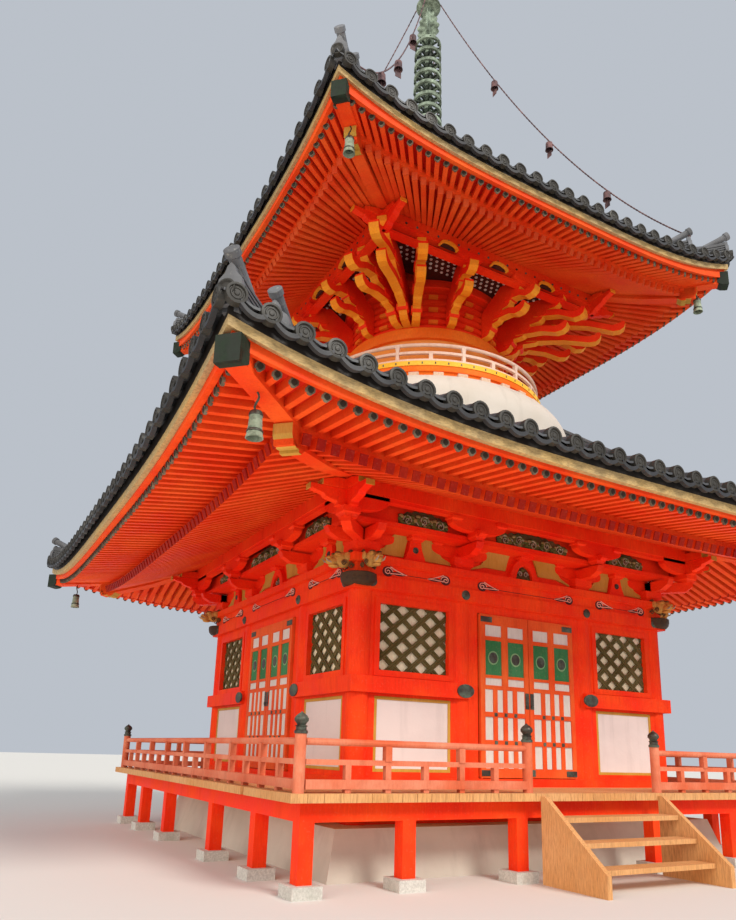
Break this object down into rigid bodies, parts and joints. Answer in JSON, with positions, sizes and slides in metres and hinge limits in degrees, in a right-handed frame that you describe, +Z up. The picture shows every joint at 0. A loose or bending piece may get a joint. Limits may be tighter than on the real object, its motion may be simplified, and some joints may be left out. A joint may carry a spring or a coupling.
{
  "type": "treasure pagoda",
  "caption": "Red timber treasure pagoda: square lower storey with a veranda, white dome, round upper storey, two tiled roofs, bronze finial.",
  "frame": {"origin": "the centre of the square plan at ground level", "axes": "+Z up; -Y is the front, the side with the steps; -X is the left side as seen from the front"},
  "size_m": [10.5014, 10.5014, 17.15],
  "materials": {
    "red_timber": "weathered vermilion paint on timber",
    "ochre_timber": "weathered ochre paint on timber",
    "pink_timber": "faded red paint on bare grey timber",
    "door_timber": "painted timber, red rails round green and white panels",
    "plaster_white": "matt lime plaster",
    "roof_tile": "matt grey fired clay",
    "verdigris_bronze": "bronze with a green patina"
  },
  "bodies": {
    "building": {"base_mound": "plaster_white", "veranda_frame": "red_timber", "veranda_floor": "ochre_timber", "front_steps": "ochre_timber", "railing_front_left": "pink_timber", "railing_front_right": "pink_timber", "railing_sides": "pink_timber", "balcony_railing": "pink_timber", "room_floor": "ochre_timber", "front_corner_column": "red_timber", "front_door_frame": "red_timber", "front_wall_right": "red_timber", "front_wall_left": "red_timber", "front_waist_beam": "red_timber", "right_corner_column": "red_timber", "right_door_frame": "red_timber", "right_wall_right": "red_timber", "right_wall_left": "red_timber", "right_waist_beam": "red_timber", "right_door_pair": "door_timber", "back_corner_column": "red_timber", "back_door_frame": "red_timber", "back_wall_right": "red_timber", "back_wall_left": "red_timber", "back_waist_beam": "red_timber", "back_door_pair": "door_timber", "left_corner_column": "red_timber", "left_door_frame": "red_timber", "left_wall_right": "red_timber", "left_wall_left": "red_timber", "left_waist_beam": "red_timber", "head_beam": "red_timber", "column_tie": "red_timber", "lower_brackets": "red_timber", "lower_purlin": "red_timber", "lower_eaves": "red_timber", "lower_eave_board": "ochre_timber", "lower_roof": "roof_tile", "upper_brackets": "red_timber", "upper_purlin": "red_timber", "upper_eaves": "red_timber", "upper_eave_board": "ochre_timber", "upper_roof": "roof_tile", "dome": "plaster_white", "balcony": "ochre_timber", "drum": "red_timber", "finial": "verdigris_bronze", "chain_front": "verdigris_bronze", "chain_right": "verdigris_bronze", "chain_back": "verdigris_bronze", "chain_left": "verdigris_bronze"},
    "front_door_left": {"front_door_left": "door_timber"},
    "front_door_right": {"front_door_right": "door_timber"},
    "left_door_left": {"left_door_left": "door_timber"},
    "left_door_right": {"left_door_right": "door_timber"}
  },
  "joints": [
    {"name": "front_left_leaf_hinge", "type": "hinge", "parent": "building", "child": "front_door_left", "pos_m": [-0.76, -2.575, 1.01], "axis": [0, 0, -1], "range_deg": [0, 120]},
    {"name": "front_right_leaf_hinge", "type": "hinge", "parent": "building", "child": "front_door_right", "pos_m": [0.76, -2.575, 1.01], "axis": [0, 0, 1], "range_deg": [0, 120]},
    {"name": "left_left_leaf_hinge", "type": "hinge", "parent": "building", "child": "left_door_left", "pos_m": [-2.575, 0.76, 1.01], "axis": [0, 0, -1], "range_deg": [0, 120]},
    {"name": "left_right_leaf_hinge", "type": "hinge", "parent": "building", "child": "left_door_right", "pos_m": [-2.575, -0.76, 1.01], "axis": [0, 0, 1], "range_deg": [0, 120]}
  ]
}
